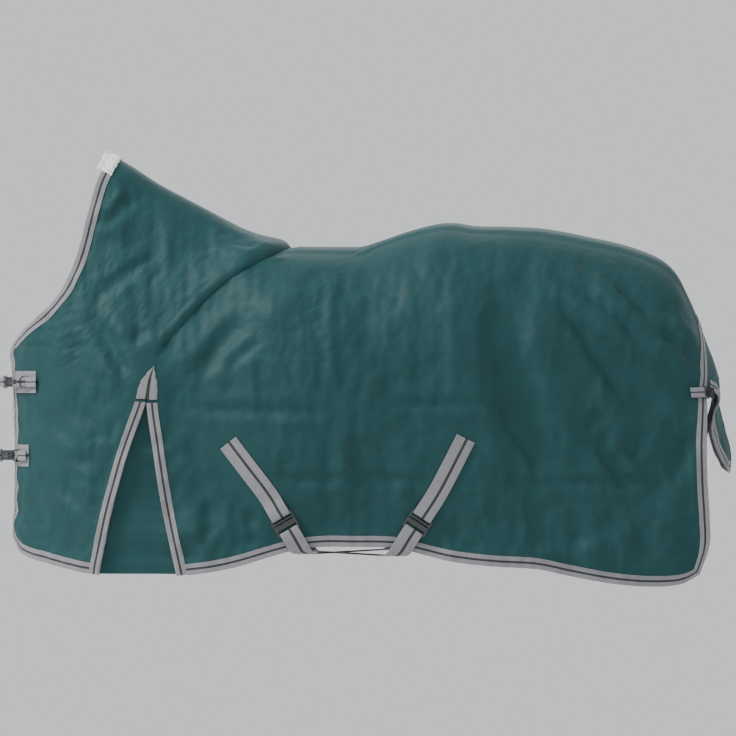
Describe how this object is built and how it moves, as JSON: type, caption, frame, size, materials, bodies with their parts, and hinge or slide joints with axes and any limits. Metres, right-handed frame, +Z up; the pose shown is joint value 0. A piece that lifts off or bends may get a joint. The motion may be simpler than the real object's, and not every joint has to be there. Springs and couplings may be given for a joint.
{
  "type": "turnout rug",
  "caption": "High-neck turnout rug for a horse: waterproof shell with shoulder gussets, chest snap closings, crossed belly surcingles and a tail flap.",
  "frame": {"origin": "underside of the lining at the spine, just behind the withers, where the rug rests on the horse's back", "axes": "+Z up, -X towards the horse's head, -Y towards its left side"},
  "size_m": [1.861, 0.6042, 1.0914],
  "materials": {
    "outer_cloth": "woven ripstop polyester, soft sheen",
    "lining_cloth": "smooth polyester lining",
    "fleece": "thick white fleece",
    "binding_tape": "grey binding tape with a dark stripe",
    "grey_webbing": "woven polypropylene webbing with a dark stripe",
    "black_webbing": "woven black webbing",
    "dark_metal": "dark gunmetal plating, satin"
  },
  "bodies": {
    "rug": {"body_lining": "lining_cloth", "front_belly_strap": "grey_webbing", "front_surcingle_hook": "dark_metal", "front_surcingle_loop": "dark_metal", "front_surcingle_slot_plate": "dark_metal", "left_body_binding": "binding_tape", "left_body_shell": "outer_cloth", "left_front_binding": "binding_tape", "left_front_lining": "lining_cloth", "left_front_panel": "outer_cloth", "left_front_surcingle_anchor": "grey_webbing", "left_gusset_cap": "binding_tape", "left_rear_surcingle_anchor": "grey_webbing", "left_shoulder_gusset": "outer_cloth", "left_slit_front_binding": "binding_tape", "left_slit_rear_binding": "binding_tape", "left_tail_ring": "dark_metal", "left_tail_ring_tab": "grey_webbing", "lower_chest_patch": "grey_webbing", "lower_chest_ring": "dark_metal", "lower_chest_ring_tab": "grey_webbing", "lower_chest_strap": "grey_webbing", "lower_snap_swivel": "dark_metal", "neck_fleece": "fleece", "rear_belly_strap": "grey_webbing", "rear_surcingle_hook": "dark_metal", "rear_surcingle_loop": "dark_metal", "rear_surcingle_slot_plate": "dark_metal", "right_body_binding": "binding_tape", "right_body_shell": "outer_cloth", "right_front_binding": "binding_tape", "right_front_lining": "lining_cloth", "right_front_panel": "outer_cloth", "right_front_surcingle_anchor": "grey_webbing", "right_gusset_cap": "binding_tape", "right_rear_surcingle_anchor": "grey_webbing", "right_shoulder_gusset": "outer_cloth", "right_slit_front_binding": "binding_tape", "right_slit_rear_binding": "binding_tape", "right_tail_ring": "dark_metal", "right_tail_ring_tab": "grey_webbing", "tail_strap": "black_webbing", "upper_chest_patch": "grey_webbing", "upper_chest_ring": "dark_metal", "upper_chest_ring_tab": "grey_webbing", "upper_chest_strap": "grey_webbing", "upper_snap_swivel": "dark_metal"},
    "tail_flap": {"tail_flap": "outer_cloth", "tail_flap_binding": "binding_tape"},
    "upper_snap": {"upper_snap_hook": "dark_metal"},
    "upper_bolt": {"upper_snap_bolt": "dark_metal"},
    "lower_snap": {"lower_snap_hook": "dark_metal"},
    "lower_bolt": {"lower_snap_bolt": "dark_metal"}
  },
  "joints": [
    {"name": "tail_flap_lift", "type": "hinge", "parent": "rug", "child": "tail_flap", "pos_m": [0.90673, 0, -0.1939], "axis": [0, -1, 0], "range_deg": [0, 75]},
    {"name": "upper_snap_turn", "type": "hinge", "parent": "rug", "child": "upper_snap", "pos_m": [-0.84567, -0.03422, -0.33605], "axis": [0.67, -0.7424, 0], "range_deg": [-20, 20]},
    {"name": "upper_bolt_slide", "type": "slide", "parent": "upper_snap", "child": "upper_bolt", "axis": [-0.67, 0.7424, 0], "range_m": [0, 0.0115], "stiffness_N_per_m": 250, "springref_m": -0.006},
    {"name": "lower_snap_turn", "type": "hinge", "parent": "rug", "child": "lower_snap", "pos_m": [-0.85823, 0.01637, -0.5208], "axis": [0.555, -0.8319, 0], "range_deg": [-20, 20]},
    {"name": "lower_bolt_slide", "type": "slide", "parent": "lower_snap", "child": "lower_bolt", "axis": [-0.555, 0.8319, 0], "range_m": [0, 0.0115], "stiffness_N_per_m": 250, "springref_m": -0.006}
  ]
}
